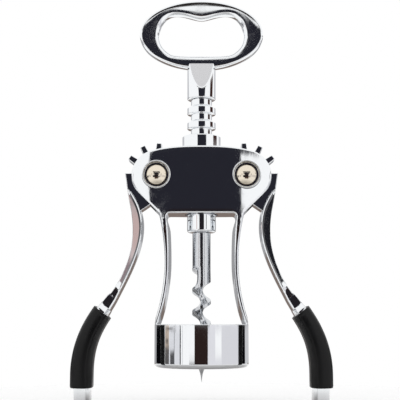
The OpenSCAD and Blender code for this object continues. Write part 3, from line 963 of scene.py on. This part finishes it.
def core_ring(inner, outer, depth):
    """One ring of the core: a wide bevel on its inner side, rounded outside."""
    width = (outer - inner).length
    bevel, edge = 1.7 * MM, 1.1 * MM
    return section_ring(inner, outer, [
        (0, 0), (0, depth * 0.52), (bevel * 0.2, depth * 0.66), (bevel * 0.45, depth * 0.8),
        (bevel * 0.72, depth * 0.93), (bevel * 0.9, depth * 0.985), (bevel * 1.1, depth),
        (bevel * 1.25, depth), (bevel * 1.5, depth), (bevel * 1.8, depth),
        (bevel * 2, depth), (width * 0.7, depth), (width - edge, depth),
        (width - edge * 0.5, depth - edge * 0.14), (width - edge * 0.14, depth - edge * 0.5),
        (width, depth - edge), (width, 0),
    ])


def lever_arm(sizes):
    """Arm, end block, collar and core as one skin of rings, from the root to the tip."""
    arm_in, arm_out, core_in, core_out = lever_edges()
    rings = []
    for i, (inner, outer) in enumerate(zip(arm_in, arm_out)):
        share = i / (len(arm_in) - 1)
        section = arm_section(inner, outer, sizes, (3.9 - 0.9 * share) * MM)
        rings.append(section_ring(inner, outer, section))
    # shares of the core's length and depths: the end block's front stands 0.5 mm below the rib
    for share, block in ((0.012, 4.85), (0.03, 4.95), (0.08, 4.95), (0.15, 4.95)):
        inner, outer = along(core_in, share), along(core_out, share)
        section = arm_section(inner, outer, sizes, 3 * MM, block * MM)
        rings.append(section_ring(inner, outer, section))
    # the collar rises towards the grip, then the core runs inside it
    collar = [(0.165, 5), (0.18, 5.3), (0.215, 6.25), (0.232, 6.4), (0.25, 6.3), (0.27, CORE_HALF)]
    core = [(i / 40, CORE_HALF) for i in range(12, 41, 2)]
    for share, depth in collar + core:
        rings.append(core_ring(along(core_in, share), along(core_out, share), depth * MM))
    # the bare tip: share of its length, and how far its end is rounded off
    tip_in, tip_out = Vector((27.4 * MM, TIP_LOW)), Vector((34 * MM, TIP_LOW))
    for share, shrink in ((0.25, 0), (0.5, 0), (0.75, 0), (0.88, 0.05), (0.95, 0.35),
                          (0.985, 0.8), (1, 1.4)):
        inner, outer = drawn_in(core_in[-1].lerp(tip_in, share), core_out[-1].lerp(tip_out, share),
                                shrink * MM)
        rings.append(core_ring(inner, outer, (CORE_HALF - shrink) * MM))
    return loft(rings)


def hub_outline():
    """Toothed hub seen from the front, on the right: round, with teeth towards the rack and
    over the top, and the root block and web on the arm's side."""
    root, tip, pitch_radius = 10.6, 14.4, 12.76
    foot_half, flank_half, crest_half, chamfer = 1.4, 1.15, 0.9, 0.3
    # angles in degrees: the tooth at the rack, the outline's start above the arm and its end
    rack_at, start, end = 182, 6.5, 278
    tooth_step = math.degrees(RACK_PITCH / pitch_radius)
    foot = math.degrees(math.asin(foot_half / root))
    pivot = Vector((0, 0))
    points = in_mm((13.7, 1.2))
    angle = start
    # five teeth above the one at the rack, and one below it
    for k in range(5, -2, -1):
        tooth_at = rack_at - k * tooth_step
        steps = max(2, round((tooth_at - foot - angle) / 6))
        points += arc(pivot, root * MM, angle, tooth_at - foot, steps)
        out = Vector((math.cos(math.radians(tooth_at)), math.sin(math.radians(tooth_at))))
        side = Vector((-out.y, out.x))
        for r, s in ((tip - chamfer, -flank_half), (tip, -crest_half), (tip, crest_half),
                     (tip - chamfer, flank_half)):
            points.append((out * r + side * s) * MM)
        angle = tooth_at + foot
    points += arc(pivot, root * MM, angle, end, 10)
    points += in_mm((2.6, -12.4))
    arm_in = lever_edges()[0]
    points += [arm_in[i] + Vector((0.6, 0)) * MM for i in (11, 9, 7, 5, 3)]
    return points + in_mm((12.7, -5.7))


def lever_hub(sizes):
    """Toothed hub and web: a slab with soft edges and the pin's bore."""
    half = 4 * MM
    bm = slab([PIVOT.xz + p for p in hub_outline()], -half, half)
    soften_rims(bm, sizes.edge)
    return cut(bm, pivot_bar(1, 2.56 * MM, -1.5 * half, 1.5 * half, 48))


class CORK_OT_levers(bpy.types.Operator):
    """Builds both levers: toothed hub, arm with its recessed panel, end block and core"""
    bl_idname = "cork.levers"
    bl_label = "Levers"

    def execute(self, context):
        sizes = context.scene.cork_levers
        chrome = bpy.data.materials["chrome_plated_zinc_casting"]
        painted_recess_shade = recess_shade_chrome()
        for word in ("right", "left"):
            hub, arm = lever_hub(sizes), lever_arm(sizes)
            if word == "left":
                mirrored(hub, ACROSS)
                mirrored(arm, ACROSS)
            body, nodes = word + "_wing", [word + "_lever"]
            place(word + "_hub", hub, body, nodes, "chrome_casting", chrome)
            piece = place(word + "_arm", arm, body, nodes, "chrome_casting", chrome, crease=28)
            # the second material is painted shade: a dark chrome put on the recess's steep wall
            # faces picked below
            piece.data.materials.append(painted_recess_shade)
            outwards = 1 if word == "right" else -1
            for polygon in piece.data.polygons:
                # above the end block, the recess's wall is steep and faces outwards
                above = polygon.center.z > PIVOT.z + BLOCK_OUT[1] * MM
                steep = 0.17 < abs(polygon.normal.y) < 0.62
                if above and steep and polygon.normal.x * outwards > 0.3:
                    polygon.material_index = 1
        return {"FINISHED"}


# ---------------------------------------------------------------- grips


def grip_ring(inner, outer, depth, corner):
    """One ring of a grip: a leaning inner side, a soft ridge, a shallow hollow and a rounded
    outer side."""
    width = (outer - inner).length
    return section_ring(inner, outer, [
        (0, 0), (0, depth * 0.36), (width * 0.035, depth * 0.5), (width * 0.13, depth * 0.74),
        (width * 0.21, depth * 0.92), (width * 0.26, depth * 0.975), (width * 0.32, depth * 0.995),
        (width * 0.42, depth), (width * 0.52, depth * 0.985), (width * 0.62, depth * 0.96),
        (width - corner, depth * 0.93), (width - corner * 0.62, depth * 0.93 - corner * 0.1),
        (width - corner * 0.3, depth * 0.93 - corner * 0.33),
        (width - corner * 0.08, depth * 0.93 - corner * 0.66), (width, depth * 0.9 - corner),
        (width, 0),
    ])


class CORK_OT_grips(bpy.types.Operator):
    """Builds both rubber grips with their lips and ridges"""
    bl_idname = "cork.grips"
    bl_label = "Grips"

    def execute(self, context):
        sizes = context.scene.cork_grips
        rubber = moulded_rubber()
        skin_in, skin_out = 1.2 * MM, 1.59 * MM
        half, swell, top = 6.65, 0.25, 0.25
        core_in, core_out = lever_edges()[2:]
        grip_in, grip_out = beside(core_in, -skin_in), beside(core_out, skin_out)
        low_in = Vector((core_in[-1].x - skin_in, GRIP_LOW))
        low_out = Vector((core_out[-1].x + skin_out, GRIP_LOW))
        # from the grip's top: share of the core's length, how far the end is rounded off, share
        # of the lip's height
        stations = [(0.245, 0.9, 0), (0.247, 0.3, 0), (0.25, 0.05, 0.6), (0.258, 0, 1),
                    (0.275, 0, 1), (0.288, 0, 0.5), (0.3, 0, 0.05)]
        stations += [(0.3 + 0.7 * i / 22, 0, 0) for i in range(1, 23)]
        # below the core: share of the way to the lower end, and how far it is rounded off
        end = ((0.3, 0), (0.6, 0), (0.85, 0), (0.95, 0.1), (0.985, 0.4), (1, 0.9))
        for word in ("right", "left"):
            rings = []
            for share, shrink, lip in stations:
                grow = sizes.lip * lip - shrink * MM
                inner, outer = drawn_in(
                    along(grip_in, share), along(grip_out, share), max(-grow, 0))
                fuller = swell * math.sin(math.pi * (share - top) / (1 - top))
                depth = (half + fuller) * MM + grow
                rings.append(grip_ring(inner, outer, depth, sizes.corner))
            for share, shrink in end:
                inner, outer = drawn_in(
                    grip_in[-1].lerp(low_in, share), grip_out[-1].lerp(low_out, share),
                    shrink * MM)
                rings.append(grip_ring(inner, outer, (half - shrink) * MM, sizes.corner))
            bm = loft(rings)
            if word == "left":
                mirrored(bm, ACROSS)
            place(word + "_handgrip", bm, word + "_wing", [word + "_grip"], "grip_rubber", rubber,
                  crease=50)
        return {"FINISHED"}


# ---------------------------------------------------------------- stage

# What the metal mirrors, as seen from the object: name, colour, left and right edge, bottom and
# top edge in degrees (0 is the camera's direction, positive to the right and up), softness
STUDIO = (
    # mirrored by the bell, and low in front by the body
    ("side_left", "#a3a3a5", -181, -143, -14, 0.3, 1),
    ("black_left", "#08080b", -143.5, -113, -14, 0.1, 0.5),
    ("patch_left", "#bfae9f", -99.6, -86, -14, 0, 0.5),
    ("patch_left_low", "#5c5a5a", -99.6, -85.4, -14, -1.6, 0.4),
    ("patch_left_mid", "#6a6561", -98, -88, -1.35, -1.05, 0.2),
    ("patch_shade", "#e2e2e6", -85.4, -54, -14, 0, 0.6),
    ("patch_dark_low", "#505052", -82, -70, -14, -2, 0.4),
    ("line_top", "#4a4644", -98, -64, -0.42, -0.25, 0.12),
    ("line_1", "#6a6a6e", -70, -68.6, -14, -0.3, 0.5),
    ("line_2", "#3c3c40", -54, -51, -14, 0, 0.6),
    ("line_3", "#cfcfd2", -47.5, -46, -14, 0, 0.5),
    ("dark_below", "#232024", -30, 30, -20, -3, 1),
    ("brown_middle", "#2c211f", -16.9, 15.1, -3.6, 0.3, 0.8),
    ("grey_right", "#e4e3e7", 15.1, 49, -14, 0.3, 0.8),
    ("grey_right_far", "#dcdbdf", 49, 106, -14, 0.3, 1),
    ("window_glow", "#ffffff", 33, 49, -2.5, -0.45, 1),
    ("black_right", "#08080b", 106, 132, -14, 0.1, 0.5),
    ("side_right", "#c9c9cb", 132, 181, -14, 0.3, 1),
    # mirrored by the body, legs, arms, barrel and shank
    ("dark_side_left", "#2b2b2f", -139, -98, 0.3, 7.4, 2),
    ("dark_side_right", "#2b2b2f", 98, 139, 0.3, 7.4, 2),
    ("grey_side_left", "#9a9a9c", -181, -139, 0.3, 10.4, 2),
    ("grey_side_right", "#9a9a9c", 139, 181, 0.3, 10.4, 2),
    ("lobe_edge_left", "#7d7d80", -139, -112, 7.4, 10.4, 1),
    ("lobe_edge_right", "#7d7d80", 112, 139, 7.4, 10.4, 1),
    ("mauve_left", "#8d7d80", -41, -36, 0.5, 4.4, 0.8),
    ("rose_left", "#c7aeaa", -41, -36, 4.4, 6.9, 0.8),
    ("rose_left_high", "#7b6868", -41, -36, 6.9, 9.4, 0.8),
    ("dark_right", "#1f1f24", 36, 41, 0.5, 9.4, 0.8),
    ("dark_wall_low", "#232024", -17, 20, 0.2, 6.9, 0.8),
    ("dark_wall", "#26262e", -24.8, 18.7, 6.4, 11, 0.3),
    ("dark_wall_top", "#26262e", -24, 29, 10.8, 18.2, 0.4),
    ("brown_strip", "#3c2724", 75, 105, 10.8, 15.4, 1),
    ("pale_side_left", "#c6c6c9", -181, -128, 10.6, 16, 1.5),
    ("pale_side_right", "#c6c6c9", 128, 181, 10.6, 16, 1.5),
    # mirrored by the rivets
    ("dark_top", "#2a2626", -30, 30, 20.2, 27, 1),
    ("dark_stem", "#4a3a34", -17, 17, -36, -19, 3),
    # mirrored by the ring's shoulders
    ("dark_horn_left", "#23232b", -12, -1.8, 17.8, 19.5, 0.5),
    ("dark_horn_right", "#23232b", 2.4, 12, 17.8, 18.9, 0.5),
    # mirrored by the undersides, from behind
    ("brown_behind_right", "#7d716b", 150, 181, -14, -3, 2),
    ("brown_behind_left", "#7d716b", -181, -150, -14, -3, 2),
)


def edge_mask(tree, value, edge, softness, rising):
    """1 on one side of an edge and 0 on the other."""
    low, high = (0, 1) if rising else (1, 0)
    return add(tree, "ShaderNodeMapRange", {
        "Value": value, "From Min": edge - softness / 2, "From Max": edge + softness / 2,
        "To Min": low, "To Max": high}, interpolation_type="SMOOTHSTEP").outputs["Result"]


class CORK_OT_stage(bpy.types.Operator):
    """Builds the pale floor, the studio light and the camera"""
    bl_idname = "cork.stage"
    bl_label = "Stage"

    def execute(self, context):
        sizes = context.scene.cork_stage
        self.make_floor(sizes)
        self.make_light(context, sizes)
        self.make_camera(context, sizes)
        context.scene.view_settings.view_transform = "Standard"
        return {"FINISHED"}

    def make_floor(self, sizes):
        """White sweep paper: matt and even, with the faintest fibre grain, 1.5 mm wide. Rays other
        than the camera's see a painted shadow on it: the paper darkened near the object and paler
        away from it."""
        bm = bmesh.new()
        bmesh.ops.create_circle(bm, cap_ends=True, radius=sizes.floor, segments=128)
        bmesh.ops.translate(bm, verts=bm.verts, vec=(0, 0, PIVOT.z + TIP_LOW))
        floor = as_object("floor", bm)
        material, tree, shader, at = new_material("white_sweep_paper")
        fibre = add(tree, "ShaderNodeTexNoise", {"Vector": at, "Scale": per_metre(1.5)})
        bump = add(tree, "ShaderNodeBump", {
            "Height": fibre.outputs["Fac"], "Strength": 0.2, "Distance": 0.01 * MM})
        white = (1, 1, 1, 1)
        reach = add(tree, "ShaderNodeVectorMath", {0: at}, operation="LENGTH").outputs["Value"]
        far = add(tree, "ShaderNodeMapRange", {
            "Value": reach, "From Min": 25 * MM, "From Max": 135 * MM}).outputs["Result"]
        # painted shadow: #b8b6b5 close to the object, fading to white about 135 mm out, for rays
        # other than the camera's
        painted_shadow_tone = add(tree, "ShaderNodeMix", {
            0: far, 6: linear("#b8b6b5"), 7: white}, data_type="RGBA").outputs[2]
        seen = add(tree, "ShaderNodeLightPath").outputs["Is Camera Ray"]
        tone = add(tree, "ShaderNodeMix", {
            0: seen, 6: painted_shadow_tone, 7: white}, data_type="RGBA").outputs[2]
        set_inputs(tree, shader, {
            "Base Color": tone, "Roughness": 1, "Specular IOR Level": 0,
            "Normal": bump.outputs["Normal"]})
        floor.data.materials.append(material)

    def make_light(self, context, sizes):
        """A white studio all round, with the dark walls and cards that the metal mirrors."""
        world = bpy.data.worlds.new("studio")
        context.scene.world = world
        world.use_nodes = True
        tree = world.node_tree
        tree.nodes.clear()
        way = add(tree, "ShaderNodeSeparateXYZ", {
            "Vector": add(tree, "ShaderNodeTexCoord").outputs["Generated"]})
        front = add(tree, "ShaderNodeMath", {0: way.outputs["Y"], 1: -1}, operation="MULTIPLY")
        turn = add(tree, "ShaderNodeMath", {
            0: way.outputs["X"], 1: front.outputs[0]}, operation="ARCTAN2")
        turn = add(tree, "ShaderNodeMath", {0: turn.outputs[0]}, operation="DEGREES").outputs[0]
        rise = add(tree, "ShaderNodeMath", {0: way.outputs["Z"]}, operation="ARCSINE")
        rise = add(tree, "ShaderNodeMath", {0: rise.outputs[0]}, operation="DEGREES").outputs[0]
        shade = add(tree, "ShaderNodeRGB").outputs[0]
        shade.default_value = (1, 1, 1, 1)
        for name, tone, left, right, low, high, soft in STUDIO:
            mask = edge_mask(tree, turn, left, soft, True)
            others = ((turn, right, False), (rise, low, True), (rise, high, False))
            for value, edge, rising in others:
                side = edge_mask(tree, value, edge, soft, rising)
                mask = add(tree, "ShaderNodeMath", {
                    0: mask, 1: side}, operation="MULTIPLY").outputs[0]
            shade = add(tree, "ShaderNodeMix", {
                0: mask, 6: shade, 7: linear(tone)}, data_type="RGBA", label=name).outputs[2]
        studio = add(tree, "ShaderNodeBackground", {"Color": shade, "Strength": sizes.light})
        plain = add(tree, "ShaderNodeBackground", {"Color": (1, 1, 1, 1), "Strength": 1})
        seen = add(tree, "ShaderNodeLightPath").outputs["Is Camera Ray"]
        both = add(tree, "ShaderNodeMixShader", {
            0: seen, 1: studio.outputs[0], 2: plain.outputs[0]})
        add(tree, "ShaderNodeOutputWorld", {"Surface": both.outputs[0]})

    def make_camera(self, context, sizes):
        """The photograph's viewpoint: low in front, looking up a little."""
        lens = bpy.data.cameras.new("camera")
        lens.lens = sizes.lens
        lens.sensor_width = 36
        lens.clip_start = 0.01
        camera = bpy.data.objects.new("camera", lens)
        context.scene.collection.objects.link(camera)
        camera.location = (-sizes.camera_aside, -sizes.camera_back, sizes.camera_height)
        camera.rotation_euler = (math.pi / 2 + sizes.camera_tilt, 0, 0)
        context.scene.camera = camera


# ---------------------------------------------------------------- add-on

# The scene's property, its group of sizes and the operator that reads it
GROUPS = (
    ("cork_casting", CastingSizes, "cork.frame"),
    ("cork_pivots", PivotSizes, "cork.pivots"),
    ("", None, "cork.rack"),
    ("cork_worm", WormSizes, "cork.worm"),
    ("cork_handle", HandleSizes, "cork.handle"),
    ("cork_levers", LeverSizes, "cork.levers"),
    ("cork_grips", GripSizes, "cork.grips"),
    ("cork_stage", StageSizes, "cork.stage"),
    ("cork_finish", FinishColours, ""),
)


class CORK_PT_panel(bpy.types.Panel):
    """Sizes, colours and pieces of the corkscrew"""
    bl_label = "Corkscrew"
    bl_idname = "CORK_PT_panel"
    bl_space_type = "VIEW_3D"
    bl_region_type = "UI"
    bl_category = "Corkscrew"

    def draw(self, context):
        """Lists each operator's button with its sizes below it."""
        for name, group, operator in GROUPS:
            box = self.layout.box()
            if operator:
                box.operator(operator)
            if group:
                values = getattr(context.scene, name)
                for key in group.__annotations__:
                    box.prop(values, key)


CLASSES = (
    CastingSizes, PivotSizes, WormSizes, HandleSizes, LeverSizes, GripSizes, FinishColours,
    StageSizes, CORK_OT_frame, CORK_OT_pivots, CORK_OT_rack, CORK_OT_worm, CORK_OT_handle,
    CORK_OT_levers, CORK_OT_grips, CORK_OT_stage, CORK_PT_panel,
)


def register():
    """Adds the operators, the panel and the scene's sizes."""
    for cls in CLASSES:
        bpy.utils.register_class(cls)
    for name, group, _ in GROUPS:
        if group:
            setattr(bpy.types.Scene, name, PointerProperty(type=group))


def unregister():
    """Takes away what register added."""
    for name, group, _ in GROUPS:
        if group:
            delattr(bpy.types.Scene, name)
    for cls in reversed(CLASSES):
        bpy.utils.unregister_class(cls)


def main():
    """Builds the corkscrew and its stage."""
    register()
    bpy.ops.cork.frame()
    bpy.ops.cork.pivots()
    bpy.ops.cork.rack()
    bpy.ops.cork.worm()
    bpy.ops.cork.handle()
    bpy.ops.cork.levers()
    bpy.ops.cork.grips()
    bpy.ops.cork.stage()


if __name__ == "__main__":
    main()
